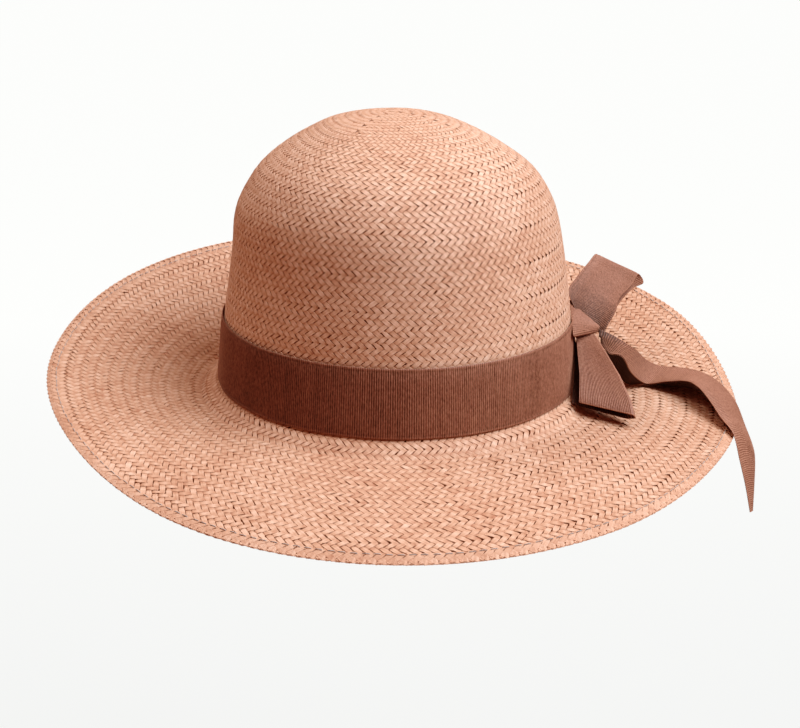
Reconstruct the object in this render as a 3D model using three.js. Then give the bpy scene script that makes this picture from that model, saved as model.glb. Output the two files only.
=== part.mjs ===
// A woven straw hat with a ribbed ribbon band and a side bow. Units are millimetres, +Z is up.
// The origin is the middle of the head opening, level with the foot of the band.
// The hat faces -Y, and the bow is on the wearer's left, +X.
import * as THREE from "three";

// Driving dimensions
const HEAD_HALF_WIDTH = 84; // inside of the crown at its foot, side to side
const HEAD_HALF_DEPTH = 94; // the same, front to back: a 56 cm head
const STRAW_THICKNESS = 1.6;
const RIBBON_THICKNESS = 1;
const GAP = 0.3; // between neighbouring pieces
const TOP_TURN = 15; // degrees by which the squared top of the crown is turned
const FIRST_ROW = 8; // the turn-out and first woven row, before the flat of the brim
const BEND = 1.15; // above 1, the brim bends most near its rim

// Half axes of the outside of the crown at its foot
const FOOT_X = HEAD_HALF_WIDTH + STRAW_THICKNESS;
const FOOT_Y = HEAD_HALF_DEPTH + STRAW_THICKNESS;

// Sections of the crown from its foot to its top. Spread is a share of the foot's oval,
// shift is sideways, and square is the exponent of the rounded square: 2 is a plain oval.
const CROWN = [
  { height: 0, spread: 1, shift: 0, square: 2 },
  { height: 33, spread: 0.963, shift: 0, square: 2 },
  { height: 62, spread: 0.916, shift: 0, square: 2 },
  { height: 81, spread: 0.882, shift: -1, square: 2 },
  { height: 92, spread: 0.824, shift: -1, square: 2.1 },
  { height: 102.5, spread: 0.733, shift: -1, square: 2.2 },
  { height: 111.5, spread: 0.594, shift: -1.5, square: 2.35 },
  { height: 118.5, spread: 0.452, shift: -2, square: 2.45 },
  { height: 123.5, spread: 0.315, shift: -3, square: 2.5 },
  { height: 126.6, spread: 0.155, shift: -3, square: 2.5 },
  { height: 127.4, spread: 0, shift: -3, square: 2.5 },
];
const CROWN_FROM = 0.019; // share of the crown's table at which crown and brim meet
const BAND_FROM = 0.002; // the band starts just above the brim
const BAND_TO = 0.1; // and ends at the table's second section

// The rim every 30 degrees from +X by way of the back (+Y): how high it lies above the
// foot of the band, and how far the brim reaches along its slope.
const RIM = [
  { rise: -5, reach: 77.5 },
  { rise: 13, reach: 80 },
  { rise: 24, reach: 79 },
  { rise: 30, reach: 79 },
  { rise: 33, reach: 80 },
  { rise: 27, reach: 81 },
  { rise: 12, reach: 81 },
  { rise: 0, reach: 78.5 },
  { rise: -14, reach: 79 },
  { rise: -18.5, reach: 79.5 },
  { rise: -15, reach: 80 },
  { rise: -8, reach: 77 },
];

// Rings of the brim from the crown to the rim. Out is measured from the crown's foot,
// share along the flat of the brim, and lift is added to the height.
const BRIM = [
  { out: -0.6, share: 0, lift: 6, thick: 1.6 }, // upright, behind the band
  { out: -0.2, share: 0, lift: 0.5, thick: 1.6 },
  { out: 1.2, share: 0, lift: -0.9, thick: 1.6 }, // turn-out
  { out: 4.6, share: 0, lift: -2.5, thick: 2 }, // raised first row
  { out: FIRST_ROW, share: 0, lift: -4, thick: 1.6 },
  { out: FIRST_ROW, share: 0.25, lift: -3, thick: 1.6 },
  { out: FIRST_ROW, share: 0.5, lift: -1.9, thick: 1.6 },
  { out: FIRST_ROW, share: 0.75, lift: -0.9, thick: 1.6 },
  { out: FIRST_ROW, share: 0.9, lift: -0.3, thick: 1.6 },
  { out: FIRST_ROW, share: 0.93, lift: 0.3, thick: 2.6 }, // folded hem
  { out: FIRST_ROW, share: 1, lift: 0, thick: 2.2 },
];

// Ribbon sections: the middle of the ribbon, the direction across it (turn from +X in plan,
// tilt above the horizontal, degrees) and its width there.
const LOOP_BACK = [
  { x: 92.5, y: 3.2, z: 30, turn: 0, tilt: -50, width: 21 },
  { x: 101.5, y: 19, z: 39.5, turn: 8, tilt: -42, width: 27 },
  { x: 109, y: 38, z: 43.5, turn: 22, tilt: -31, width: 31 },
  { x: 112.6, y: 47, z: 43, turn: 28, tilt: -29, width: 31 },
  { x: 110.6, y: 49, z: 38.5, turn: 28, tilt: -29, width: 31 },
  { x: 103, y: 37, z: 34.5, turn: 20, tilt: -32, width: 31 },
  { x: 95.5, y: 19, z: 29, turn: 6, tilt: -42, width: 27 },
  { x: 90.6, y: 3.4, z: 25, turn: 0, tilt: -52, width: 17 },
];
const LOOP_FRONT = [
  { x: 90, y: -12.2, z: 22.4, turn: -8, tilt: -8, width: 10 },
  { x: 93, y: -30, z: 17.5, turn: -34, tilt: -8, width: 20 },
  { x: 95.8, y: -47, z: 9, turn: -36, tilt: -4, width: 31 },
  { x: 97, y: -53.6, z: 5, turn: -36, tilt: -2, width: 32 },
  { x: 96.2, y: -51.4, z: 1, turn: -36, tilt: 0, width: 32 },
  { x: 94.6, y: -34, z: 6.5, turn: -34, tilt: -4, width: 21 },
  { x: 91.5, y: -12.6, z: 16.6, turn: -8, tilt: -8, width: 10 },
];
const TAIL = [
  { x: 98.4, y: -12, z: 19.5, turn: -87, tilt: -14, width: 20.6 },
  { x: 104.7, y: -11.5, z: 16.6, turn: -100, tilt: -8, width: 21 },
  { x: 110.5, y: -9.5, z: 13, turn: -112, tilt: 0, width: 24 },
  { x: 116.7, y: -3.5, z: 6.4, turn: -116, tilt: 0, width: 24.6 },
  { x: 125.5, y: 4, z: -1, turn: -119, tilt: -6, width: 24 },
  { x: 134.4, y: -1, z: 1.5, turn: -116, tilt: 0, width: 25 },
  { x: 142.9, y: -7.5, z: 3.2, turn: -116, tilt: 8, width: 28 },
  { x: 148.1, y: -18.2, z: 3, turn: -122, tilt: 12, width: 28.4 },
  { x: 152.6, y: -27.7, z: 0.4, turn: -126, tilt: 14, width: 29 },
  { x: 156.8, y: -40, z: -4.6, turn: -124, tilt: 16, width: 29 },
  { x: 160.4, y: -51, z: -11.2, turn: -120, tilt: 22, width: 29 },
  { x: 162, y: -53.5, z: -21, turn: -117, tilt: 19, width: 28.5 },
  { x: 162.6, y: -55.5, z: -34, turn: -111, tilt: 19, width: 28.4 },
  { x: 163.6, y: -57, z: -46.2, turn: -106, tilt: 21, width: 29 },
];

// The wrap at the middle of the bow: a wedge that leans on the band
const KNOT = { foot: 20.6, lip: 24.4, top: 37.6, inner: 86.2, outer: 97, front: -11, back: 2.2 };

const radians = THREE.MathUtils.degToRad;

// The value of one column of a table at t, 0 to 1, on a smooth curve through its rows.
function column(table, key, t, wrap = false) {
  const spans = wrap ? table.length : table.length - 1;
  const place = (wrap ? t - Math.floor(t) : THREE.MathUtils.clamp(t, 0, 1)) * spans;
  const row = Math.min(Math.floor(place), spans - 1);
  const f = place - row;
  const at = (n) => {
    if (wrap) return table[(n + table.length) % table.length][key];
    if (n < 0) return 2 * table[0][key] - table[1][key];
    if (n >= table.length) return 2 * table.at(-1)[key] - table.at(-2)[key];
    return table[n][key];
  };
  const [a, b, c, d] = [at(row - 1), at(row), at(row + 1), at(row + 2)];
  return b + 0.5 * f * (c - a + f * (2 * a - 5 * b + 4 * c - d + f * (3 * (b - c) + d - a)));
}

// A point on the outside of the crown: u runs round it, v from its foot to its top.
function crownFace(u, v) {
  const angle = u * 2 * Math.PI;
  const square = column(CROWN, "square", v);
  const turned = angle - radians(TOP_TURN);
  const corner = Math.abs(Math.cos(turned)) ** square + Math.abs(Math.sin(turned)) ** square;
  const spread = Math.max(column(CROWN, "spread", v), 0) * corner ** (-1 / square);
  const x = column(CROWN, "shift", v) + FOOT_X * spread * Math.cos(angle);
  const y = FOOT_Y * spread * Math.sin(angle);
  return new THREE.Vector3(x, y, column(CROWN, "height", v));
}

// A point on the top of the brim: u runs round it, v from its rim to the crown.
function brimFace(u, v) {
  const angle = u * 2 * Math.PI;
  const ring = (key) => column(BRIM, key, 1 - v);
  const rise = column(RIM, "rise", u, true);
  const reach = Math.sqrt(column(RIM, "reach", u, true) ** 2 - rise ** 2);
  const share = THREE.MathUtils.clamp(ring("share"), 0, 1);
  const out = ring("out") + share * (reach - FIRST_ROW);
  const normal = new THREE.Vector2(Math.cos(angle) / FOOT_X, Math.sin(angle) / FOOT_Y).normalize();
  const x = FOOT_X * Math.cos(angle) + out * normal.x;
  const y = FOOT_Y * Math.sin(angle) + out * normal.y;
  return new THREE.Vector3(x, y, ring("lift") + rise * share ** BEND);
}

// A point in the middle of a ribbon: u runs across it, v along it.
function ribbonFace(table, u, v) {
  const turn = radians(column(table, "turn", v));
  const tilt = radians(column(table, "tilt", v));
  const half = (u - 0.5) * column(table, "width", v);
  const x = column(table, "x", v) + half * Math.cos(turn) * Math.cos(tilt);
  const y = column(table, "y", v) + half * Math.sin(turn) * Math.cos(tilt);
  return new THREE.Vector3(x, y, column(table, "z", v) + half * Math.sin(tilt));
}

// The direction that a face looks in, from two small steps over it.
function facing(face, u, v) {
  const step = 1e-4;
  const overU = face(u + step, v).sub(face(u - step, v));
  const overV = face(u, Math.min(v + step, 1)).sub(face(u, Math.max(v - step, 0)));
  return overU.cross(overV).normalize();
}

// A closed wall on a face. Front and back say how far its two sides lie from the face,
// wrap joins its first column to its last, and pole closes its last row in one point.
function wall(face, { cols, rows, wrap = false, pole = false, front = 0, back }) {
  const positions = [];
  const index = [];
  const perRow = wrap ? cols : cols + 1;
  const id = (side, i, j) => {
    const place = pole && j === rows ? 0 : i % perRow;
    return (side * (rows + 1) + j) * perRow + place;
  };
  for (const depth of [() => front, back]) {
    for (let j = 0; j <= rows; j += 1) {
      for (let i = 0; i < perRow; i += 1) {
        const [u, v] = [i / cols, j / rows];
        const atPole = pole && j === rows;
        const normal = atPole ? new THREE.Vector3(0, 0, 1) : facing(face, u, v);
        positions.push(...face(u, v).addScaledVector(normal, depth(v)));
      }
    }
  }
  const triangle = (a, b, c) => {
    if (a !== b && b !== c && c !== a) index.push(a, b, c);
  };
  const quad = (a, b, c, d) => {
    triangle(a, b, c);
    triangle(a, c, d);
  };
  for (let i = 0; i < cols; i += 1) {
    for (let j = 0; j < rows; j += 1) {
      quad(id(0, i, j), id(0, i + 1, j), id(0, i + 1, j + 1), id(0, i, j + 1));
      quad(id(1, i, j), id(1, i, j + 1), id(1, i + 1, j + 1), id(1, i + 1, j));
    }
    quad(id(1, i, 0), id(1, i + 1, 0), id(0, i + 1, 0), id(0, i, 0));
    if (!pole) quad(id(0, i, rows), id(0, i + 1, rows), id(1, i + 1, rows), id(1, i, rows));
  }
  for (let j = 0; j < rows && !wrap; j += 1) {
    quad(id(0, 0, j), id(0, 0, j + 1), id(1, 0, j + 1), id(1, 0, j));
    quad(id(1, cols, j), id(1, cols, j + 1), id(0, cols, j + 1), id(0, cols, j));
  }
  const geometry = new THREE.BufferGeometry();
  geometry.setAttribute("position", new THREE.Float32BufferAttribute(positions, 3));
  geometry.setIndex(index);
  geometry.computeVertexNormals();
  return geometry;
}

function crownShell() {
  const face = (u, v) => crownFace(u, THREE.MathUtils.lerp(CROWN_FROM, 1, v));
  return wall(face, { cols: 60, rows: 20, wrap: true, pole: true, back: () => -STRAW_THICKNESS });
}

function brimShell() {
  const back = (v) => -column(BRIM, "thick", 1 - v);
  return wall(brimFace, { cols: 84, rows: BRIM.length - 1, wrap: true, back });
}

function bandRing() {
  const face = (u, v) => crownFace(u, THREE.MathUtils.lerp(BAND_FROM, BAND_TO, v));
  const front = GAP + RIBBON_THICKNESS;
  return wall(face, { cols: 84, rows: 2, wrap: true, front, back: () => GAP });
}

function ribbon(table, rows) {
  const face = (u, v) => ribbonFace(table, u, v);
  const front = RIBBON_THICKNESS / 2;
  return wall(face, { cols: 3, rows, front, back: () => -RIBBON_THICKNESS / 2 });
}

function knotWedge() {
  const side = new THREE.Shape();
  side.moveTo(KNOT.inner, KNOT.foot);
  side.lineTo(KNOT.outer - 2, KNOT.lip - 2.6);
  side.quadraticCurveTo(KNOT.outer, KNOT.lip - 2, KNOT.outer - 0.6, KNOT.lip);
  side.quadraticCurveTo(KNOT.outer - 6, KNOT.top - 4, KNOT.inner + 1.6, KNOT.top);
  side.quadraticCurveTo(KNOT.inner - 1, KNOT.top + 0.6, KNOT.inner - 1, KNOT.top - 2);
  side.lineTo(KNOT.inner, KNOT.foot);
  const depth = KNOT.back - KNOT.front;
  const geometry = new THREE.ExtrudeGeometry(side, { depth, bevelEnabled: false, curveSegments: 6 });
  geometry.rotateX(Math.PI / 2);
  geometry.translate(0, KNOT.back, 0);
  return geometry;
}

const straw = () => new THREE.MeshStandardMaterial({ color: 0xc9947a, roughness: 0.75, metalness: 0 });
const grosgrain = () => new THREE.MeshStandardMaterial({ color: 0x6e4637, roughness: 0.7, metalness: 0 });

const PIECES = [
  { name: "crown", geometry: crownShell(), material: straw() },
  { name: "brim", geometry: brimShell(), material: straw() },
  { name: "band", geometry: bandRing(), material: grosgrain() },
  { name: "bow_knot", geometry: knotWedge(), material: grosgrain() },
  { name: "bow_loop_back", geometry: ribbon(LOOP_BACK, 28), material: grosgrain() },
  { name: "bow_loop_front", geometry: ribbon(LOOP_FRONT, 24), material: grosgrain() },
  { name: "bow_tail", geometry: ribbon(TAIL, 33), material: grosgrain() },
];

const hat = new THREE.Group();
for (const { name, geometry, material } of PIECES) {
  const mesh = new THREE.Mesh(geometry, material);
  mesh.name = name;
  hat.add(mesh);
}

export default hat;
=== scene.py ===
# %% [markdown]
# # A straw hat with a ribbon band and a side bow
# The hat is woven from flat straws, in two sets that cross each other on the slant. A ribbed
# ribbon runs round the foot of the crown and is tied in a bow on one side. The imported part
# gives the plain walls of each piece; this lesson weaves the straw and makes the ribbons over
# them. All surfaces are worked out in millimetres, and turned into metres in the meshes.

# %% Load the frame
import math

import bpy
import numpy as np
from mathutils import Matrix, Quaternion, Vector


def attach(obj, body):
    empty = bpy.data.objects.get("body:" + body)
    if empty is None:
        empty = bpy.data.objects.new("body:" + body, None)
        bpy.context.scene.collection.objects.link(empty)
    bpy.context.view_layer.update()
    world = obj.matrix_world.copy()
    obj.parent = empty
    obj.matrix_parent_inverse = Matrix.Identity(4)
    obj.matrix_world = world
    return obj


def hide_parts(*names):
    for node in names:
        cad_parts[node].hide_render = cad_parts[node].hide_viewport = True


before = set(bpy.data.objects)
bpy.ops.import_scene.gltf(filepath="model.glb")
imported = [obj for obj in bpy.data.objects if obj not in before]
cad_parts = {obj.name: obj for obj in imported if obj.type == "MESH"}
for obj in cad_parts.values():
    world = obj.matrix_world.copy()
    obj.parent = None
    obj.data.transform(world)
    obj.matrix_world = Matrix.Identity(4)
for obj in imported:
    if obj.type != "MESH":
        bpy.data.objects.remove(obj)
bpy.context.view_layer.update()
MM = 0.001
print("nodes:", sorted(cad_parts))

# %% [markdown]
# ## Camera
# The photograph looks at the front of the hat from a little above. A camera can be placed by
# eye, or by angles: here it stands on a circle round the head opening, so its height angle and
# its distance are the only two values to tune. The small roll levels the brim as in the photo.

# %% Camera
CAMERA_DISTANCE = 0.75
CAMERA_ABOVE = math.radians(18.5)
CAMERA_ROLL = math.radians(0.6)
CAMERA_LENS = 69.5
AIM_RIGHT = 0.00136
AIM_UP = 0.0046


def stand_camera():
    """Stands the camera on a circle round the origin and aims it just beside the origin."""
    back = Vector((0, -math.cos(CAMERA_ABOVE), math.sin(CAMERA_ABOVE)))
    up = Vector((0, math.sin(CAMERA_ABOVE), math.cos(CAMERA_ABOVE)))
    place = back * CAMERA_DISTANCE
    aim = Vector((AIM_RIGHT, 0, 0)) + up * AIM_UP
    data = bpy.data.cameras.new("camera")
    data.lens = CAMERA_LENS
    camera = bpy.data.objects.new("camera", data)
    bpy.context.scene.collection.objects.link(camera)
    turn = (aim - place).to_track_quat("-Z", "Y") @ Quaternion((0, 0, 1), CAMERA_ROLL)
    camera.location = place
    camera.rotation_euler = turn.to_euler()
    bpy.context.scene.camera = camera
    return camera


print("camera at", [round(c, 3) for c in stand_camera().location])

# %% [markdown]
# ## Smooth tables
# Straw and ribbon bend smoothly, so a few measured sections describe them. A table's rows are
# joined by a curve that passes through each of them. A spline object could do it, but a formula
# on whole arrays gives thousands of points at once.

# %% Smooth tables


def between_rows(table, place, ring=False):
    """Catmull-Rom curve through the rows of a table at a place from 0 to 1.

    Between rows b and c, with neighbours a and d, the value is
    b + f/2 (c - a + f (2a - 5b + 4c - d + f (3(b - c) + d - a))). A ring closes on itself,
    and an open table is lengthened in a straight line at both ends.
    """
    rows = np.asarray(table, float)
    spans = len(rows) if ring else len(rows) - 1
    place = np.asarray(place, float)
    along = (place % 1 if ring else np.clip(place, 0, 1)) * spans
    row = np.minimum(along.astype(int), spans - 1)
    f = (along - row)[..., None]
    if ring:
        padded = np.concatenate([rows[-1:], rows, rows[:2]])
    else:
        padded = np.concatenate([2 * rows[:1] - rows[1:2], rows, 2 * rows[-1:] - rows[-2:-1]])
    a, b, c, d = (padded[row + step] for step in range(4))
    return b + 0.5 * f * (c - a + f * (2 * a - 5 * b + 4 * c - d + f * (3 * (b - c) + d - a)))


def unit(vectors):
    """Each vector divided by its length."""
    return vectors / np.maximum(np.linalg.norm(vectors, axis=-1, keepdims=True), 1e-9)


print("half way between 0, 1 and 4:", between_rows([[0], [1], [4]], 0.5))

# %% [markdown]
# ## The shape of the crown
# The crown is an oval at its foot and a rounded square near its top, where the weaver starts
# from four corners. These are the same sections as in the part's source: height, share of the
# foot's oval, sideways shift, and the exponent of the rounded square.

# %% Crown surface
FOOT_X = 85.6
FOOT_Y = 95.6
TOP_TURN = math.radians(15)
CROWN = [
    (0, 1, 0, 2), (33, 0.963, 0, 2), (62, 0.916, 0, 2), (81, 0.882, -1, 2),
    (92, 0.824, -1, 2.1), (102.5, 0.733, -1, 2.2), (111.5, 0.594, -1.5, 2.35),
    (118.5, 0.452, -2, 2.45), (123.5, 0.315, -3, 2.5), (126.6, 0.155, -3, 2.5),
    (127.4, 0, -3, 2.5),
]


def crown_face(angle, v):
    """Outside of the crown at an angle, v from 0 at the foot to 1 at the top.

    A rounded square of exponent n reaches (|cos|^n + |sin|^n)^(-1/n) at each angle, times the
    foot's oval and the section's spread.
    """
    height, spread, shift, square = np.moveaxis(between_rows(CROWN, v), -1, 0)
    turned = angle - TOP_TURN
    corner = np.abs(np.cos(turned)) ** square + np.abs(np.sin(turned)) ** square
    reach = np.maximum(spread, 0) * corner ** (-1 / square)
    x = shift + FOOT_X * reach * np.cos(angle)
    y = FOOT_Y * reach * np.sin(angle)
    return np.stack(np.broadcast_arrays(x, y, height), -1)


def path_length(points):
    """Distance along a line of points, from its first point."""
    steps = np.linalg.norm(np.diff(points, axis=0), axis=-1)
    return np.concatenate([[0], np.cumsum(steps)])


crown_v = np.linspace(1, 0, 801)
crown_run = path_length(crown_face(np.full(801, math.radians(45)), crown_v))


def crown_at(angle, run):
    """The crown's outside at a distance run from the top, measured down its diagonal."""
    angle, run = np.broadcast_arrays(angle, run)
    return crown_face(angle, np.interp(run, crown_run, crown_v))


print("top to foot:", round(crown_run[-1], 1), "mm")

# %% [markdown]
# ## The shape of the brim
# The brim stands up a little behind the band, turns out in a rounded first row and runs to a
# hem that is folded under. Its rim dips at the front and lifts at the back. One table holds the
# way out, one the height and reach of the rim every 30 degrees.

# %% Brim surface
FIRST_ROW = 8
BEND = 1.15
RIM = [
    (-5, 77.5), (13, 80), (24, 79), (30, 79), (33, 80), (27, 81),
    (12, 81), (0, 78.5), (-14, 79), (-18.5, 79.5), (-15, 80), (-8, 77),
]
# Out from the crown's foot, share along the flat of the brim, lift
BRIM_WAY = [
    (-0.6, 0, 6), (-0.2, 0, 2.4), (1.4, 0, 0.9), (4.8, 0, -1.3), (8, 0, -3.5),
    (8, 0.25, -3.1), (8, 0.5, -1.9), (8, 0.75, -0.9), (8, 0.9, -0.3), (8, 0.94, 0.2),
    (6.8, 1, 0.1), (8, 1, -0.5), (8, 1, -1.3), (6.8, 1, -1.9), (8, 0.93, -1.9),
]


def brim_face(angle, way):
    """Top of the brim at an angle, way from 0 behind the band to 1 at the hem's hidden edge.

    A point lies a distance out from the foot's oval along the oval's normal, at the row's lift
    plus the rim's rise times share^1.15, so that the brim bends most near its rim.
    """
    out, share, lift = np.moveaxis(between_rows(BRIM_WAY, way), -1, 0)
    rise, reach = np.moveaxis(between_rows(RIM, angle / (2 * np.pi), ring=True), -1, 0)
    share = np.clip(share, 0, 1)
    out = out + share * (np.sqrt(reach ** 2 - rise ** 2) - FIRST_ROW)
    across = unit(np.stack([np.cos(angle) / FOOT_X, np.sin(angle) / FOOT_Y], -1))
    x = FOOT_X * np.cos(angle) + out * across[..., 0]
    y = FOOT_Y * np.sin(angle) + out * across[..., 1]
    return np.stack([x, y, lift + rise * share ** BEND], -1)


brim_way = np.linspace(0, 1, 1201)
brim_run = path_length(brim_face(np.full(1201, math.radians(210)), brim_way))


def brim_at(angle, run):
    """The brim's top at a distance run from its edge behind the band."""
    angle, run = np.broadcast_arrays(angle, run)
    return brim_face(angle, np.interp(run, brim_run, brim_way))


print("band to hidden edge of the hem:", round(brim_run[-1], 1), "mm")

# %% [markdown]
# ## Closed strips from arrays
# A straw, a ribbon and a stitch are all the same kind of shape: a small closed outline carried
# along a path. A curve object with a bevel could do that for one; here a whole set of strips is
# worked out in one go, as an array of strips by sections by corners. The outline's corners run
# along its front and back again, so a ladder of faces closes each end.

# %% Strip maker
# Distance of strips on the map along, and how much of its column of the bake map a strip fills
STRIP_SPACING = 7.3
COLUMN_FILL = 0.94


def strip_corners(strips, sections, corners, loop):
    """Face corners of closed strips, as triples of strip, section and corner.

    Neighbouring sections are joined by a ring of four-cornered faces. A loop runs on to its
    first section, and other strips are closed by a ladder from front to back at both ends.
    """
    steps = sections if loop else sections - 1
    start = np.stack(np.indices((strips, steps, corners)), -1).reshape(-1, 1, 3)
    faces = [start + np.array([(0, 0, 0), (0, 0, 1), (0, 1, 1), (0, 1, 0)])]
    rung = np.arange(corners // 2 - 1)
    ladder = np.stack([rung, rung + 1, corners - 2 - rung, corners - 1 - rung], -1)
    ends = [] if loop else [(0, ladder[:, ::-1]), (sections - 1, ladder)]
    for end, turns in ends:
        cap = np.broadcast_arrays(np.arange(strips)[:, None, None], end, turns)
        faces.append(np.stack(cap, -1).reshape(-1, 4, 3))
    return np.concatenate(faces)


def strip_batch(rings, run, tone, loop=False):
    """Points, faces, UV pairs and tones of a set of strips.

    rings holds strips by sections by corners, and tone as much or one value for a section; run
    is the distance along each strip and becomes V of the map named along. The bake map gives
    each strip a column of its own.
    """
    strips, sections, corners = rings.shape[:3]
    strip, section, turn = np.moveaxis(strip_corners(strips, sections, corners, loop), -1, 0)
    number = np.arange(strips * sections * corners).reshape(strips, sections, corners)
    lap = 2 * run[strip, -1] - run[strip, -2]
    v = np.where(section == sections, lap, run[strip, section % sections])
    column = (strip + COLUMN_FILL * turn / corners) / strips
    return {
        "points": rings.reshape(-1, 3),
        "faces": number[strip, section % sections, turn % corners],
        "along": np.stack([turn / corners + STRIP_SPACING * strip, v], -1),
        "OFBake": np.stack([column, section / sections], -1),
        "tone": np.broadcast_to(tone, number.shape).ravel(),
        "size": sections,
    }


sample = strip_batch(np.zeros((2, 5, 6, 3)), np.zeros((2, 5)), np.zeros((2, 5, 1)))
print("two strips of five sections have", len(sample["faces"]), "faces")

# %% [markdown]
# ## Meshes from arrays
# A mesh is lists of points, of faces and of what each face corner carries. Filling them with
# foreach_set from numpy arrays takes a moment even for a hundred thousand faces. Each set of
# strips gets its own slice of the bake map, so no two faces share a place on it.

# %% Mesh maker
# How much of its slice of the bake map a set of strips fills
SLICE_FILL = 0.98


def make_piece(name, material, batches, node, smooth=True):
    """Joins sets of strips into one object that replaces a node of the frame.

    If the faces enclose a negative volume they are turned round, so that they point outwards.
    """
    shift = np.cumsum([0] + [len(batch["points"]) for batch in batches])
    points = np.concatenate([batch["points"] for batch in batches])
    faces = np.concatenate([batch["faces"] + step for batch, step in zip(batches, shift)])
    along = np.concatenate([batch["along"] for batch in batches])
    share = np.cumsum([0] + [batch["size"] for batch in batches], dtype=float)
    share /= share[-1]
    slices = []
    for batch, low, high in zip(batches, share, share[1:]):
        slices.append(batch["OFBake"] * (1, SLICE_FILL * (high - low)) + (0, low))
    bake = np.concatenate(slices)
    a, b, c, d = (points[faces[:, corner]] for corner in range(4))
    if np.sum(np.cross(a, b) * c) + np.sum(np.cross(a, c) * d) < 0:
        faces, along, bake = faces[:, ::-1], along[:, ::-1], bake[:, ::-1]
    mesh = bpy.data.meshes.new(name)
    mesh.vertices.add(len(points))
    mesh.vertices.foreach_set("co", (points * MM).astype(np.float32).ravel())
    mesh.loops.add(faces.size)
    mesh.loops.foreach_set("vertex_index", faces.astype(np.int32).ravel())
    mesh.polygons.add(len(faces))
    mesh.polygons.foreach_set("loop_start", np.arange(0, faces.size, 4, dtype=np.int32))
    mesh.polygons.foreach_set("use_smooth", np.full(len(faces), smooth))
    mesh.update(calc_edges=True)
    for map_name, uv in (("along", along), ("OFBake", bake)):
        layer = mesh.uv_layers.new(name=map_name)
        layer.uv.foreach_set("vector", uv.astype(np.float32).ravel())
    tones = np.concatenate([batch["tone"] for batch in batches]).astype(np.float32)
    mesh.attributes.new("tone", "FLOAT", "POINT").data.foreach_set("value", tones)
    mesh.materials.append(material)
    piece = bpy.data.objects.new(name, mesh)
    bpy.context.scene.collection.objects.link(piece)
    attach(piece, "root")
    if node:
        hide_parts(node)
    print(name, "has", 2 * len(faces), "triangles")
    return piece


# %% [markdown]
# ## The straw's finish
# Each straw is a strip of dried leaf, pinkish tan, with fine streaks along it and a soft gloss.
# No two have quite the same colour, so each one carries a tone that the material turns into a
# colour from deep to pale. The streaks follow the straw's own UV map, whose V is in millimetres.

# %% Straw material


def new_material(name):
    """A new material with its node tree and Principled shader."""
    material = bpy.data.materials.new(name)
    material.use_nodes = True
    return material, material.node_tree, material.node_tree.nodes["Principled BSDF"]


def colour_ramp(tree, source, stops):
    """A ramp that turns a number into a colour, from pairs of place and colour."""
    ramp = tree.nodes.new("ShaderNodeValToRGB")
    elements = ramp.color_ramp.elements
    while len(elements) < len(stops):
        elements.new(0.5)
    for element, (place, colour) in zip(elements, stops):
        element.position = place
        element.color = (*colour, 1)
    tree.links.new(source, ramp.inputs["Fac"])
    return ramp.outputs["Color"]


def noise(tree, vector, scale, detail=2.0):
    """Smooth noise over a vector that is multiplied by a scale for each axis."""
    mapping = tree.nodes.new("ShaderNodeMapping")
    mapping.inputs["Scale"].default_value = scale
    tree.links.new(vector, mapping.inputs["Vector"])
    node = tree.nodes.new("ShaderNodeTexNoise")
    node.inputs["Scale"].default_value = 1
    node.inputs["Detail"].default_value = detail
    tree.links.new(mapping.outputs["Vector"], node.inputs["Vector"])
    return node.outputs["Fac"]


def times_plus(tree, first, factor, extra):
    """first * factor + extra, where extra is a number or another socket."""
    node = tree.nodes.new("ShaderNodeMath")
    node.operation = "MULTIPLY_ADD"
    tree.links.new(first, node.inputs[0])
    node.inputs[1].default_value = factor
    if isinstance(extra, (int, float)):
        node.inputs[2].default_value = extra
    else:
        tree.links.new(extra, node.inputs[2])
    return node.outputs["Value"]


def bump(tree, shader, height, distance, strength):
    """Tilts the shading by the slope of a height, in metres."""
    node = tree.nodes.new("ShaderNodeBump")
    node.inputs["Strength"].default_value = strength
    node.inputs["Distance"].default_value = distance
    tree.links.new(height, node.inputs["Height"])
    tree.links.new(node.outputs["Normal"], shader.inputs["Normal"])


def strip_coordinates(tree):
    """The tone of a strip, its own UV map, and the place on the object."""
    tone = tree.nodes.new("ShaderNodeAttribute")
    tone.attribute_name = "tone"
    uv = tree.nodes.new("ShaderNodeUVMap")
    uv.uv_map = "along"
    place = tree.nodes.new("ShaderNodeTexCoord")
    return tone.outputs["Fac"], uv.outputs["UV"], place.outputs["Object"]


STRAW_STOPS = [
    (0.0, (0.36, 0.14, 0.075)),
    (0.35, (0.57, 0.325, 0.215)),
    (0.62, (0.71, 0.475, 0.35)),
    (1.0, (0.84, 0.645, 0.52)),
]


def straw_finish():
    """Straw: tone plus streaks and broad patches pick a colour; streaks also give bump."""
    material, tree, shader = new_material("straw")
    tone, uv, place = strip_coordinates(tree)
    streaks = noise(tree, uv, (14, 0.12, 1), 3)
    patches = noise(tree, place, (22, 22, 22))
    shade = times_plus(tree, streaks, 0.5, times_plus(tree, tone, 1, -0.4))
    shade = times_plus(tree, patches, 0.3, shade)
    tree.links.new(colour_ramp(tree, shade, STRAW_STOPS), shader.inputs["Base Color"])
    bump(tree, shader, streaks, 0.0002, 0.35)
    shader.inputs["Roughness"].default_value = 0.62
    shader.inputs["Specular IOR Level"].default_value = 0.3
    return material


straw = straw_finish()
print("material", straw.name, "with", len(straw.node_tree.nodes), "nodes")

# %% [markdown]
# ## One straw in the weave
# Every straw goes over two others and under two, which makes a twill with the herringbone look
# of the photo. A flat picture of a weave would be quick, but it fails at the rim and in close
# views, so each straw here is a thin closed strip that rises and dives. It is drawn in a little
# where it dives, so a small dark nick opens at the end of each float.

# %% Straws on a surface
STRAW_DEPTH = 0.26
MID_WALL = -0.6
FLOAT_HEIGHT = 0.27
FLOAT_ARCH = 0.085
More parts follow.
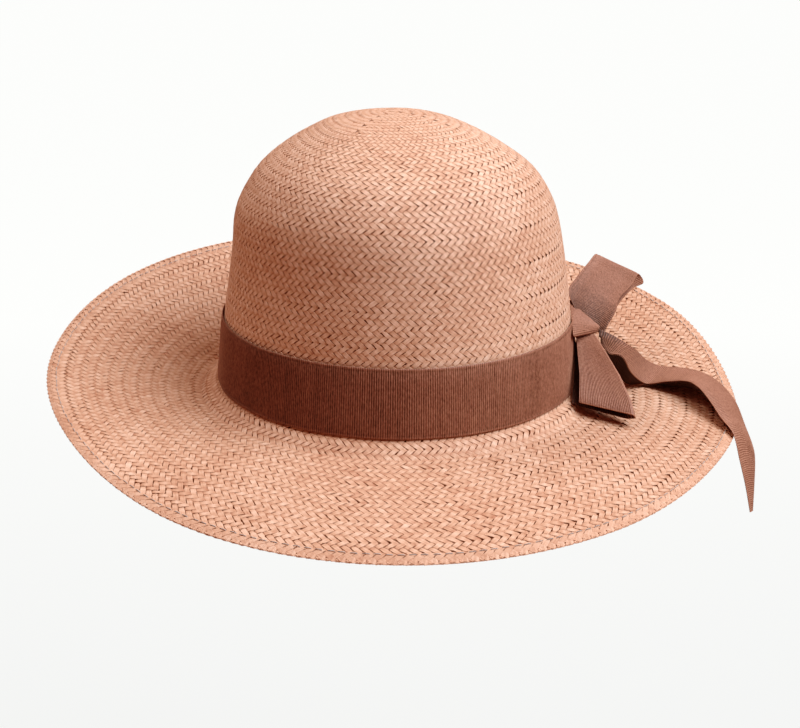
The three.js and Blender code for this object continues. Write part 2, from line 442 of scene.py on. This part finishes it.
# Sideways share of the width and height share of the depth, along the top and back below
STRAW_SECTION = np.array([(-0.46, 0.5), (0.46, 0.5), (0.5, -0.5), (-0.5, -0.5)])
# Sections of a straw within four crossings: place from its first upper one, share of the
# width, change of tone. The change of tone is painted shade at the ends where the straw dives and
# on its sections below, and a little painted light on top of each float
BEATS = np.array([
    (-0.34, 0.87, -0.16), (0.5, 0.96, 0.05), (1.34, 0.87, -0.16),
    (2.0, 0.95, -0.1), (3.0, 0.95, -0.1),
])
# Share of the sections that are drawn in, and their width
NICKS = 0.03
NICK_WIDTH = 0.65
# Chance changes of width and lift, and of tone from straw to straw and along each one
WIDTH_SPREAD = 0.045
LIFT_SPREAD = 0.03
STRAW_SPREAD = 0.045
ALONG_SPREAD = 0.035
# Change of tone and width where the weave is pressed
PRESS_TONE = -0.08
PRESS_FILL = 0.16
chance = np.random.default_rng(7)


def straw_beats(phase, first, last):
    """Places, widths and tones of a straw's sections between two crossings."""
    rounds = 4 * np.arange(-2, last // 4 + 2)[:, None, None]
    beats = (BEATS + rounds * (1, 0, 0) + (phase, 0, 0)).reshape(-1, 3)
    inside = (beats[:, 0] > first - 0.01) & (beats[:, 0] < last + 0.01)
    return beats[inside].T


def finer_beats(beats):
    """Twice as many sections, for a straw that is folded round the rim."""
    count = beats.shape[1]
    place = np.arange(2 * count - 1) / 2
    return np.array([np.interp(place, np.arange(count), part) for part in beats])


def surface_normal(face, angle, run):
    """Outward direction of a surface, from small steps round it and along its run."""
    run = np.maximum(run, 2)
    round_step = face(angle + 0.002, run) - face(angle - 0.002, run)
    run_step = face(angle, run + 0.05) - face(angle, run - 0.05)
    return unit(np.cross(run_step, round_step))


def float_lift(crossing, phase):
    """Height over the middle of the wall: two crossings over, two under, with arched floats."""
    beat = (crossing - phase + 0.5) % 4
    arch = 1 - (beat % 2 - 1) ** 2
    return np.where(beat < 2, 1, -1) * (FLOAT_HEIGHT + FLOAT_ARCH * arch)


def straws_on(face, angle, run, beside, lift, fill, tone):
    """A set of straws on a surface; arrays are straws by sections.

    beside is the place of the next straw, whose distance across gives the width. A corner lies
    at the path, plus across times width times s, plus the normal times lift plus depth times h,
    with s and h from STRAW_SECTION.
    """
    normal = surface_normal(face, angle, run)
    path = face(angle, run) + normal * MID_WALL
    across = unit(np.cross(normal, np.gradient(path, axis=1)))
    spacing = np.abs(np.sum((face(*beside) + normal * MID_WALL - path) * across, -1))
    straws, sections = path.shape[:2]
    width = fill * spacing * chance.normal(1, WIDTH_SPREAD, (straws, sections))
    width = width * np.where(chance.random((straws, sections)) < NICKS, NICK_WIDTH, 1)
    lift = lift + chance.normal(0, LIFT_SPREAD, (straws, sections))
    tone = 0.5 + tone + chance.normal(0, STRAW_SPREAD, (straws, 1))
    tone = tone + chance.normal(0, ALONG_SPREAD, (straws, sections))
    side = width[..., None] * STRAW_SECTION[:, 0]
    height = lift[..., None] + STRAW_DEPTH * STRAW_SECTION[:, 1]
    rings = path[:, :, None] + across[:, :, None] * side[..., None]
    rings = rings + normal[:, :, None] * height[..., None]
    steps = np.linalg.norm(np.diff(path, axis=1), axis=-1)
    length = np.concatenate([np.zeros((straws, 1)), np.cumsum(steps, 1)], 1)
    return strip_batch(rings, length, tone[..., None])


def ring_straws(face, row, press, count, lean, first, last):
    """Straws that lean one way round a ring, from one crossing to another.

    Straw i lies at the angle (i + lean k / 2) turns / count when it is at its crossing k, and
    row(k) is the run there. Where press is above 0 the floats are flatter and fuller.
    """
    phase = 0 if lean > 0 else 2
    beats = straw_beats(phase, first, last)
    if np.any(press(row(beats[0])) > 0):
        beats = finer_beats(beats)
    crossing, fill, tone = (part[None] for part in beats)
    turn = np.arange(count)[:, None] + lean * crossing / 2
    angle = TOP_TURN + turn * 2 * np.pi / count
    run = np.broadcast_to(row(crossing), angle.shape)
    beside = (angle + 2 * np.pi / count, run)
    pressed = press(run)
    lift = float_lift(crossing, phase) * (1 - pressed)
    # The painted shade at the dives fades where the floats are pressed flat
    tone = tone * (1 - pressed) + PRESS_TONE * pressed
    return straws_on(face, angle, run, beside, lift, fill + PRESS_FILL * pressed, tone)


# %% [markdown]
# ## Rows that grow
# The hat grows wider on its way down and out, so the weaver adds straws. Here it is done in
# zones of a few rows, each with its own number of straws; the new ends are tucked under a
# float, where they don't show.

# %% Zones
STRAW_PITCH = 3.75


def ring_length(face, run):
    """Length round a ring of a surface."""
    angle = np.linspace(0, 2 * np.pi, 361)
    return path_length(face(angle, np.full(361, run)))[-1]


def unpressed(run):
    """No pressing."""
    return 0 * run


def woven_zones(face, row, press, zone, start, begin, end, least, lean):
    """One set of straws from crossing begin to end, in zones counted from start.

    The ends lie at crossings where the set is under the other one, and overlap by one crossing.
    """
    tuck = 2 if lean > 0 else 0
    zones = []
    for low in np.arange(start, end - tuck, zone):
        first, last = max(low + tuck, begin), min(low + zone + tuck + 1, end)
        count = max(least, round(ring_length(face, row(low + zone / 2)) / STRAW_PITCH))
        zones.append(ring_straws(face, row, press, count, lean, first, last))
    return zones


# %% [markdown]
# ## Weaving the crown
# The weaver starts at the top with a square mat of crossing straws and works outwards. At the
# mat's edge the straws turn down and become the wall. The mat is laid out on square rings about
# the top, which makes the four corners that show in the photo; ring k of the mat holds 4k
# crossings. In the mat the straws cross at right angles, in the wall they lie flatter.

# %% Crown straws
MAT_HALF_ROW = 1.6
MAT_RINGS = 22
WALL_HALF_ROW = 1.27
WALL_ZONE = 12


def crown_row(crossing):
    """Run of a crossing from the top: wider rows in the mat, closer ones in the wall."""
    extra = (MAT_HALF_ROW - WALL_HALF_ROW) * np.minimum(crossing, MAT_RINGS)
    return WALL_HALF_ROW * crossing + extra


def mat_place(x, y):
    """Angle and run of a point of the square mat: the share of a side becomes an angle."""
    ring = np.maximum(np.abs(x), np.abs(y))
    safe = np.maximum(ring, 1e-6)
    wide = np.abs(x) >= np.abs(y)
    on_side = np.where(x > 0, 0, np.pi) + np.pi / 4 * y / np.where(x > 0, safe, -safe)
    on_end = np.where(y > 0, np.pi / 2, -np.pi / 2) - np.pi / 4 * x / np.where(y > 0, safe, -safe)
    return TOP_TURN + np.where(wide, on_side, on_end), crown_row(ring)


def mat_straw(line, mirror):
    """One straw of the mat: points (line + t, t - line), t from edge to edge of the mat.

    Where the line is in the right or left quarter it belongs to one set of the wall, elsewhere
    to the other, which gives the crossings where it is on top.
    """
    halves = []
    for side in (-1, 1):
        phase = 0 if (line * side > 0) == (mirror > 0) else 2
        beats, fill, tone = straw_beats(phase, abs(line) + 0.1, MAT_RINGS - phase / 2)
        halves.append(np.array([side * (beats - abs(line)), float_lift(beats, phase), fill, tone]))
    t, lift, fill, tone = np.concatenate([halves[0][:, ::-1], halves[1]], 1)
    if len(t) < 3:
        return None
    angle, run = (part[None] for part in mat_place(line + t, mirror * (t - line)))
    beside = (part[None] for part in mat_place(line + 1 + t, mirror * (t - line - 1)))
    return straws_on(crown_at, angle, run, tuple(beside), lift[None], fill[None], tone[None])


def crown_straws(mirror):
    """All straws of one set: the mat, then the wall from the mat's edge to the foot."""
    lines = [mat_straw(line, mirror) for line in range(1 - MAT_RINGS, MAT_RINGS)]
    last = MAT_RINGS + (crown_run[-1] - MAT_RINGS * MAT_HALF_ROW) / WALL_HALF_ROW - 2
    start, begin, least = MAT_RINGS - 2, MAT_RINGS - 1, 4 * MAT_RINGS
    wall = woven_zones(
        crown_at, crown_row, unpressed, WALL_ZONE, start, begin, last, least, mirror)
    return [line for line in lines if line] + wall


make_piece("crown_straws_rising", straw, crown_straws(1), "crown", smooth=False)
make_piece("crown_straws_falling", straw, crown_straws(-1), "crown", smooth=False)

# %% [markdown]
# ## Weaving the brim
# The brim's rows are a little wider apart than the crown's, and its straw is a little deeper
# in colour. At the rim the weave is folded under as a hem and ironed, so its floats are
# pressed flat there.

# %% Brim straws
BRIM_HALF_ROW = 1.6
BRIM_ZONE = 8
BRIM_TONE = -0.07
# The hem starts at the table's ninth row, and is pressed within a few millimetres
HEM_RUN = np.interp(8 / 14, brim_way, brim_run)
HEM_PRESS = 0.75
HEM_REACH = 4


def brim_row(crossing):
    """Run of a crossing from the brim's edge behind the band."""
    return BRIM_HALF_ROW * crossing


def hem_press(run):
    """How far the floats are pressed flat: from 0 before the hem to HEM_PRESS on it."""
    return HEM_PRESS * np.clip((run - HEM_RUN) / HEM_REACH, 0, 1)


def brim_straws(lean):
    """One set of the brim."""
    end = brim_run[-1] / BRIM_HALF_ROW - 0.5
    zones = woven_zones(brim_at, brim_row, hem_press, BRIM_ZONE, -4, 0, end, 0, lean)
    for zone in zones:
        zone["tone"] = zone["tone"] + BRIM_TONE
    return zones


make_piece("brim_straws_rising", straw, brim_straws(1), "brim", smooth=False)
make_piece("brim_straws_falling", straw, brim_straws(-1), "brim", smooth=False)

# %% [markdown]
# ## Inside the weave
# In the nicks between floats one looks onto the straws below, in deep shade. Modelling every
# hidden layer would cost many faces, so one thin dark sheet lies in the middle of the wall and
# stands for them. It also keeps light from leaking through the nicks.

# %% Inner layer
INNER_HALF = 0.015
SHADED_COLOUR = (0.115, 0.042, 0.023, 1)


def inner_finish():
    """Straw in deep shade: one dark colour, without gloss."""
    material, _, shader = new_material("shaded_straw")
    shader.inputs["Base Color"].default_value = SHADED_COLOUR
    shader.inputs["Roughness"].default_value = 1
    shader.inputs["Specular IOR Level"].default_value = 0
    return material


def inner_layer(face, first, last, sections, rows):
    """A thin closed sheet at the middle of the wall, out along its front and back behind."""
    angle = np.linspace(0, 2 * np.pi, sections, endpoint=False)[:, None]
    run = np.linspace(first, last, rows)[None] + 0 * angle
    normal = surface_normal(face, angle + 0 * run, run)
    front = face(angle, run) + normal * (MID_WALL + INNER_HALF)
    back = face(angle, run) + normal * (MID_WALL - INNER_HALF)
    rings = np.concatenate([front, back[:, ::-1]], 1)[None]
    return [strip_batch(rings, 100 * angle.T, np.full((1, sections, 1), 0.5), loop=True)]


shaded = inner_finish()
layer = inner_layer(crown_at, 0.3, crown_run[-1] - 1, 120, 48)
make_piece("crown_inner_layer", shaded, layer, "crown")
layer = inner_layer(brim_at, 1, brim_run[-1] - 1.5, 160, 72)
make_piece("brim_inner_layer", shaded, layer, "brim")

# %% [markdown]
# ## Stitches on the hem
# The hem is held by one line of grey thread. Each stitch is a short bowed strand that dives
# into the straw at both ends. A dashed curve would float over the weave; a small closed strip
# for each stitch can follow the rim and dip.

# %% Stitches
STITCH_STEP = 4.5
STITCH_LENGTH = 3.2
THREAD_RADIUS = 0.17
STITCH_ROW = 9 / 14
THREAD_STOPS = [(0.2, (0.3, 0.26, 0.24)), (0.8, (0.56, 0.5, 0.46))]


def thread_finish():
    """Grey sewing thread with a slight twist in its tone."""
    material, tree, shader = new_material("thread")
    tone, uv, _ = strip_coordinates(tree)
    twist = noise(tree, uv, (3, 2.5, 1))
    shade = times_plus(tree, twist, 0.6, times_plus(tree, tone, 1, -0.3))
    tree.links.new(colour_ramp(tree, shade, THREAD_STOPS), shader.inputs["Base Color"])
    shader.inputs["Roughness"].default_value = 0.7
    return material


def hem_stitches():
    """Stitches round the rim: the path's lift is a low bow that ends inside the weave."""
    run = np.interp(STITCH_ROW, brim_way, brim_run)
    around = ring_length(brim_at, run)
    count = round(around / STITCH_STEP)
    place = np.array([-0.5, -0.42, 0, 0.42, 0.5]) * STITCH_LENGTH
    lift = np.array([-0.9, -0.1, 0.05, -0.1, -0.9])
    start = np.arange(count) + chance.normal(0, 0.05, count)
    angle = 2 * np.pi * (start[:, None] / count + place / around)
    runs = run + chance.normal(0, 0.12, (count, 1)) + 0 * angle
    normal = surface_normal(brim_at, angle, runs)
    path = brim_at(angle, runs) + normal * lift[:, None]
    across = unit(np.cross(normal, np.gradient(brim_at(angle, runs), axis=1)))
    spin = np.arange(6) * np.pi / 3
    rings = path[:, :, None] + THREAD_RADIUS * across[:, :, None] * np.cos(spin)[:, None]
    rings = rings + THREAD_RADIUS * normal[:, :, None] * np.sin(spin)[:, None]
    tone = chance.normal(0.5, 0.1, (count, 1, 1)) + 0 * angle[..., None]
    return [strip_batch(rings, place + 0 * angle, tone)]


make_piece("hem_stitches", thread_finish(), hem_stitches(), None)

# %% [markdown]
# ## The ribbon's finish
# The ribbon is a dark reddish brown grosgrain: thick ribs across its width, close together, and
# a firm woven edge. The ribs are real waves in the mesh, so the material only adds the small
# changes of colour from rib to rib, the dust of use and the soft sheen of the thread.

# %% Ribbon material
RIBBON_STOPS = [
    (0.0, (0.066, 0.024, 0.011)),
    (0.5, (0.275, 0.123, 0.08)),
    (1.0, (0.45, 0.23, 0.158)),
]


def ribbon_finish():
    """Grosgrain: noise that is short along the ribbon and long across it picks the colour."""
    material, tree, shader = new_material("grosgrain")
    tone, uv, place = strip_coordinates(tree)
    ribs = noise(tree, uv, (3, 1.5, 1), 3)
    wear = noise(tree, place, (60, 60, 60))
    flecks = noise(tree, place, (1300, 1300, 650))
    shade = times_plus(tree, ribs, 0.1, times_plus(tree, tone, 1, -0.6))
    shade = times_plus(tree, flecks, 0.9, times_plus(tree, wear, 0.2, shade))
    tree.links.new(colour_ramp(tree, shade, RIBBON_STOPS), shader.inputs["Base Color"])
    grain = noise(tree, uv, (60, 4, 1), 2)
    bump(tree, shader, grain, 0.0001, 0.3)
    shader.inputs["Roughness"].default_value = 0.55
    shader.inputs["Specular IOR Level"].default_value = 0.35
    shader.inputs["Sheen Weight"].default_value = 0.12
    shader.inputs["Sheen Roughness"].default_value = 0.4
    shader.inputs["Sheen Tint"].default_value = (0.9, 0.66, 0.52, 1)
    return material


grosgrain = ribbon_finish()
print("material", grosgrain.name, "with", len(grosgrain.node_tree.nodes), "nodes")

# %% [markdown]
# ## Ribbed sheets
# A ribbon is a thin sheet with two faces. Its ribs could be bump, but the edge of a ribbon
# shows them as a fine wave, so here the thickness itself goes up and down along the ribbon.

# %% Ribbed sheet
RIB_PITCH = 1.0
RIB_STEPS = 4
RIB_HEIGHT = 0.18
# Painted shade in the rib valleys and painted light on the crests, as a change of tone
RIB_LIGHT_AND_SHADE = 0.27
RIB_CHANGE = 0.025
SHEET_HALF = 0.26
# Share across, share of the thickness, share of the ribs, change of tone: a cord at the edge,
# a groove, the flat. The change of tone is painted light on the raised cord and painted shade in
# the groove
HALF_EDGE = [
    (0, 0.4, 0.2, 0), (0.014, 1.1, 0.5, 0.12), (0.045, 0.55, 0.2, -0.1),
    (0.065, 1, 1, 0), (0.25, 1, 1, 0),
]
EDGE = np.array(HALF_EDGE + [(0.5, 1, 1, 0)] + [(1 - s, *rest) for s, *rest in HALF_EDGE[::-1]])


def ribbed_sheet(middle, run, tone, loop=False):
    """A closed sheet on a grid of middle points, sections by places across.

    Each face lies off the middle by half the thickness plus a cosine wave of the run, along the
    normal of the grid. The tone follows the same wave, as painted shade in the valleys and
    painted light on the crests, and differs a little from rib to rib.
    """
    before, after = np.roll(middle, 1, 0), np.roll(middle, -1, 0)
    forward = after - before if loop else np.gradient(middle, axis=0)
    normal = unit(np.cross(np.gradient(middle, axis=1), forward))
    wave = np.cos(2 * np.pi * run / RIB_PITCH)
    half = (SHEET_HALF * EDGE[:, 1] + RIB_HEIGHT * wave[:, None] * EDGE[:, 2])[..., None]
    front, back = middle + normal * half, middle - normal * half
    rings = np.concatenate([front, back[:, ::-1]], 1)[None]
    number = np.round(run / RIB_PITCH).astype(int)
    tone = tone + RIB_LIGHT_AND_SHADE * wave + chance.normal(0, RIB_CHANGE, number.max() + 1)[number]
    edge_light_and_shade = np.concatenate([EDGE[:, 3], EDGE[::-1, 3]])
    return [strip_batch(rings, run[None], (tone[:, None] + edge_light_and_shade)[None], loop=loop)]


# %% [markdown]
# ## The band
# The band is one length of ribbon round the foot of the crown, a little loose, so it waves
# slightly in and out. It follows the crown's own surface just outside the straw.

# %% Band
BAND_FROM = 0.007
BAND_TO = 0.1
BAND_OFF = 0.75
BAND_WAVE = 0.16
# Tone of the band, and its painted light and shade round the crown: how far it changes, and at
# what angle. It is darker on the left, and lighter on the right, towards the key lamp
BAND_TONE = 0.365
BAND_LIGHT_AND_SHADE = 0.09
BAND_LIGHT_TURN = 1.8


def band_sheet():
    """The crown's surface between two heights, moved out, with slow waves round it."""
    trial = np.linspace(0, 2 * np.pi, 1441)
    length = path_length(crown_face(trial, np.full(1441, (BAND_FROM + BAND_TO) / 2)))
    steps = RIB_STEPS * round(length[-1] / RIB_PITCH)
    run = np.arange(steps) * length[-1] / steps
    angle = np.interp(run, length, trial)[:, None]
    v = BAND_FROM + (BAND_TO - BAND_FROM) * EDGE[:, 0]
    face = crown_face(angle, v[None] + 0 * angle)
    outward = unit(face * (1, 1, 0))
    wave = np.sin(5 * angle + 1) + np.sin(11 * angle + 2.5 * EDGE[:, 0]) + np.sin(17 * angle + 4)
    middle = face + outward * (BAND_OFF + BAND_WAVE / 3 * wave)[..., None]
    # Painted light and shade: darker on the left of the crown, lighter on the right
    tone = BAND_TONE + BAND_LIGHT_AND_SHADE * np.sin(angle[:, 0] + BAND_LIGHT_TURN)
    rib_run = run * RIB_PITCH * (steps / RIB_STEPS) / length[-1]
    return ribbed_sheet(middle, rib_run, tone, loop=True), length[-1]


batches, band_length = band_sheet()
band = make_piece("ribbon_band", grosgrain, batches, "band")

# %% [markdown]
# ## The bow
# The bow has a loop towards the back, a smaller one towards the front, a tail that runs over
# the brim and hangs past the rim, and a flap that is folded over the middle. A ribbon lies
# between two edges, so each one has a table of sections with the points of both edges. Near
# the middle the ribbon is gathered, so it gets pleats there that fade along it.

# %% Bow ribbons
# Edge towards the crown or the back (x, y, z), then the other edge; in the tail also how far
# its middle arches up over the rim
LOOP_BACK = [
    (84, -1, 33.6, 98.4, -3, 21.6), (81.9, 6, 40.7, 106.2, 12, 28.7),
    (87, 17, 44.8, 109.3, 24, 32), (94.5, 33, 48.3, 117.9, 42, 34.3),
    (98.5, 42, 49.9, 122.9, 53, 36.9), (99.9, 44.5, 48, 125.8, 55, 31.9),
    (98.2, 41, 43.7, 119.6, 49, 30.3), (91.3, 27, 38.6, 110.6, 33, 26.8),
    (85.1, 8, 34, 102.7, 12, 22.1), (84.6, 1, 32.4, 98.4, 0, 20.8),
]
TAIL = [
    (96.4, -3, 23.5, 96.9, -12, 19.3, 0), (102.6, -4, 21.1, 97.8, -17, 18, 0),
    (108.7, -3, 17.6, 100.6, -18, 16.3, 0), (115.5, 2, 12.1, 105.6, -20, 15.8, 0),
    (122.1, 8, 5.4, 111.2, -14, 6.2, 0), (130.8, 14, 0.4, 120.2, -5, -2.3, 0),
    (139.9, 10, 1, 129, -12, 1.2, 0), (148.9, 5, 0.5, 136.9, -20, 4.2, 0),
    (155.6, -6.5, -1.2, 140.7, -30, 4.5, 0.8), (160.8, -19.5, -6, 143.9, -39, 1.8, 2.2),
    (163.7, -31, -14.2, 147.2, -52, -2.3, 3.6), (165.6, -41, -20.6, 150.9, -63, -6, 3.2),
    (166.6, -43, -26.6, 154.2, -66, -17.6, 1.4), (167.2, -43, -38.7, 157.4, -68, -29.3, 0.4),
    (167.3, -44, -51.4, 159.9, -70, -40.9, 0),
]
# The strip of the tail that is turned under: the fold, then the woven edge near the brim
TAIL_UNDER = [
    (97.8, -17, 18, 97.9, -15, 17.2), (100.6, -18, 16.3, 101, -13, 12.4),
    (105.6, -20, 15.8, 104.6, -10, 5.3), (111.2, -14, 6.2, 111.6, -5, -2.4),
    (120.2, -5, -2.3, 120.6, -1, -2.9), (129, -12, 1.2, 130.2, -6, -2.8),
    (136.9, -20, 4.2, 137.8, -14, -0.8), (140.7, -30, 4.5, 141.6, -25, 1.5),
    (143.9, -39, 1.8, 144.2, -37, 1.2),
]
FLAP = [
    (82.9, 6, 36, 95.3, -5, 26.9), (81.8, -10, 34, 96, -7, 27),
    (81.2, -27, 29.9, 95.5, -10, 27), (82, -26, 27.7, 94.6, -9.5, 25),
    (84.5, -10, 27.5, 93.3, -4, 25.3), (85.2, 3, 31.1, 91.4, 1, 28.3),
]
# Number of pleats, their depth, how far they reach, and whether both ends are gathered
LOOP_PLEATS = (1.5, 0.8, 16, True)
TAIL_PLEATS = (2, 1.2, 14, False)
NO_PLEATS = (0, 0, 1, False)
# Painted shade on the gathered cloth near the gathered ends of a ribbon
GATHER_PAINTED_SHADE = -0.6
# Painted deep shade for the strip turned under the tail
UNDER_PAINTED_SHADE = -0.5


def edge_point(table, place, share):
    """The point at a place along a table of two edges, and a share s of the way between them.

    Where the table has a seventh column, it arches the middle up by 4 s (1 - s) of its value.
    """
    row = between_rows(table, place)
    near, far, arch = row[..., :3], row[..., 3:6], row[..., 6:].sum(-1)
    point = near + (far - near) * share[..., None]
    point[..., 2] += 4 * share * (1 - share) * arch
    return point


def bow_ribbon(table, pleating, tone):
    """A ribbon between two edges, with pleats that fade with the distance from its end.

    A point is moved along the normal by depth * cos(2 pi pleats s) * exp(-distance / fade), and
    the gathered cloth is painted darker, as shade in its pleats.
    """
    pleats, depth, fade, both_ends = pleating
    trial = np.linspace(0, 1, 601)
    length = path_length(edge_point(table, trial, np.full(601, 0.5)))
    steps = RIB_STEPS * round(length[-1] / RIB_PITCH)
    run = np.linspace(0, length[-1], steps)
    share, place = np.meshgrid(EDGE[:, 0], np.interp(run, length, trial))
    middle = edge_point(table, place, share)
    normal = unit(np.cross(np.gradient(middle, axis=1), np.gradient(middle, axis=0)))
    gather = np.exp(-run / fade) + both_ends * np.exp(-(length[-1] - run) / fade)
    fold = depth * gather[:, None] * np.cos(2 * np.pi * pleats * share)
    middle = middle + normal * fold[..., None]
    return ribbed_sheet(middle, run, tone + GATHER_PAINTED_SHADE * gather), length[-1]


def tie_ribbon(name, node, table, pleating, tone, under=None):
    """The table under holds a strip that is turned under along the ribbon, in deep shade.
    """
    batches, length = bow_ribbon(table, pleating, tone)
    if under:
        # The turned-under strip is real ribbon, and its colour is painted deep shade
        batches = batches + bow_ribbon(under, NO_PLEATS, UNDER_PAINTED_SHADE)[0]
    piece = make_piece(name, grosgrain, batches, node)
    print(name, "is", round(length), "mm long")


tie_ribbon(
    "ribbon_loop_back", "bow_loop_back", LOOP_BACK, LOOP_PLEATS, 0.55)
tie_ribbon(
    "ribbon_tail", "bow_tail", TAIL, TAIL_PLEATS, 0.58, under=TAIL_UNDER)
tie_ribbon("ribbon_flap", "bow_knot", FLAP, NO_PLEATS, 0.5)

# %% [markdown]
# ## The front loop
# The front loop stands on its woven edge: the middle of the bow pinches its upper edge, and
# below it opens out in a cone. Its ribs therefore fan out to the lower edge. It is one sheet
# that runs along the outside, turns at the right and comes back on the inside, whose colour is
# painted dark as shade.

# %% Front loop
LOOP_OUTSIDE = [
    (83.7, -20, 26.1, 92.9, -11, 25.9), (83.9, -25, 20.8, 98.3, -24, 19.7),
    (84.2, -36, 12.2, 103.8, -41, 13.2), (83.5, -44.5, 5, 107.7, -55, 6.1),
    (83.1, -47, 2.5, 108.5, -62, 1.4),
]
LOOP_INSIDE = [
    (83.6, -18, 22.6, 92.9, -9, 22.3), (83.2, -23, 14.3, 98.3, -22, 14.1),
    (82, -32, 6, 102.9, -40, 6), (80.4, -42, 0.2, 106.5, -54, -3.2),
]
LOOP_CUT = 66
LOOP_TONE = 0.56
INSIDE_PAINTED_SHADE = -0.6
# The turn from outside to inside: where it starts along the sheet, and its length
TURN_FROM = 0.44
TURN_LENGTH = 0.12


def front_loop():
    """One sheet from the outside's left end to the inside's, turning at the right.

    Along it the share between the edges goes from 0 to 1 and back, and a smooth step at the turn
    leads from the outside's points to the inside's.
    """
    run = np.linspace(0, LOOP_CUT, RIB_STEPS * LOOP_CUT)
    down, half = np.meshgrid(EDGE[:, 0], run / LOOP_CUT)
    share = 1 - np.abs(2 * half - 1)
    step = np.clip((half - TURN_FROM) / TURN_LENGTH, 0, 1)
    step = (step * step * (3 - 2 * step))[..., None]
    outside = edge_point(LOOP_OUTSIDE, down, share)
    inside = edge_point(LOOP_INSIDE, down, share)
    # The inside is painted dark as shade
    tone = LOOP_TONE + INSIDE_PAINTED_SHADE * step[:, 0, 0]
    return ribbed_sheet(outside * (1 - step) + inside * step, run, tone)


loop = make_piece("ribbon_loop_front", grosgrain, front_loop(), "bow_loop_front")

# %% [markdown]
# ## Floor and light
# The photo is a bright studio picture: a white surround, one broad lamp from the right front and
# above, which leaves the left front of the crown in shade, and a weaker glow from the left. The
# shade is warm, from light that the straw sends back, so the sky has a warm tint. The floor is
# far below; it glows by itself, since a white backdrop is lit apart from the object, and it
# sends no light back to the hat. A weak lamp below opens the shade under the brim.

# %% Studio
FLOOR_DROP = 0.4
FLOOR_SIZE = 80
FLOOR_COLOUR = (0.03, 0.03, 0.03, 1)
FLOOR_STOPS = [
    (0.0, (0.8, 0.8, 0.79)),
    (0.33, (0.87, 0.88, 0.87)),
    (0.6, (0.97, 0.98, 0.965)),
]
SKY_COLOUR = (1, 0.32, 0.17, 1)
SKY_STRENGTH = 0.24
PALE_COLOUR = (0.97, 0.98, 0.965, 1)
# Points of the tone curve between 0 and 1: it deepens the dark end a little, as film does
TONE_CURVE = [(0.02, 0.01), (0.05, 0.035), (0.1, 0.088), (0.2, 0.2), (0.5, 0.515)]
# Place, size, watts and colour of each lamp
LAMPS = {
    "key": ((0.84, -0.36, 1.2), 1.2, 36, (0.94, 1, 1.05)),
    "side": ((-0.9, 0.3, 1.35), 0.9, 12, (1, 0.95, 0.9)),
    "below": ((0.1, -0.2, -0.38), 0.8, 2.5, (1, 0.96, 0.92)),
}


def pale_floor():
    """A large plain floor, paler in the distance."""
    half = FLOOR_SIZE / 2
    mesh = bpy.data.meshes.new("floor")
    corners = [(-half, -half), (half, -half), (half, half), (-half, half)]
    mesh.from_pydata([(x, y, -FLOOR_DROP) for x, y in corners], [], [(0, 1, 2, 3)])
    material, tree, shader = new_material("floor")
    place = tree.nodes.new("ShaderNodeTexCoord")
    parts = tree.nodes.new("ShaderNodeSeparateXYZ")
    tree.links.new(place.outputs["Object"], parts.inputs["Vector"])
    far = times_plus(tree, parts.outputs["Y"], 0.25, 0.25)
    glow = colour_ramp(tree, far, FLOOR_STOPS)
    tree.links.new(glow, shader.inputs["Emission Color"])
    shader.inputs["Emission Strength"].default_value = 1
    shader.inputs["Base Color"].default_value = FLOOR_COLOUR
    shader.inputs["Roughness"].default_value = 1
    shader.inputs["Specular IOR Level"].default_value = 0
    mesh.materials.append(material)
    floor = bpy.data.objects.new("floor", mesh)
    floor.visible_diffuse = False
    floor.visible_glossy = False
    bpy.context.scene.collection.objects.link(floor)


def studio_light():
    """An even warm glow round a pale backdrop, and broad lamps aimed at the hat."""
    scene = bpy.context.scene
    scene.view_settings.view_transform = "Standard"
    scene.view_settings.use_curve_mapping = True
    curves = scene.view_settings.curve_mapping
    for point in TONE_CURVE:
        curves.curves[3].points.new(*point)
    curves.update()
    world = bpy.data.worlds.new("studio")
    world.use_nodes = True
    tree = world.node_tree
    glow = tree.nodes["Background"]
    glow.inputs["Color"].default_value = SKY_COLOUR
    glow.inputs["Strength"].default_value = SKY_STRENGTH
    pale = tree.nodes.new("ShaderNodeBackground")
    pale.inputs["Color"].default_value = PALE_COLOUR
    seen = tree.nodes.new("ShaderNodeLightPath")
    mix = tree.nodes.new("ShaderNodeMixShader")
    tree.links.new(seen.outputs["Is Camera Ray"], mix.inputs["Fac"])
    tree.links.new(glow.outputs["Background"], mix.inputs[1])
    tree.links.new(pale.outputs["Background"], mix.inputs[2])
    tree.links.new(mix.outputs["Shader"], tree.nodes["World Output"].inputs["Surface"])
    scene.world = world
    for name, (place, size, watts, colour) in LAMPS.items():
        data = bpy.data.lights.new(name, "AREA")
        data.size = size
        data.energy = watts
        data.color = colour
        lamp = bpy.data.objects.new(name, data)
        lamp.location = place
        lamp.rotation_euler = (-Vector(place)).to_track_quat("-Z", "Y").to_euler()
        scene.collection.objects.link(lamp)
        print(name, "lamp at", place)


pale_floor()
studio_light()
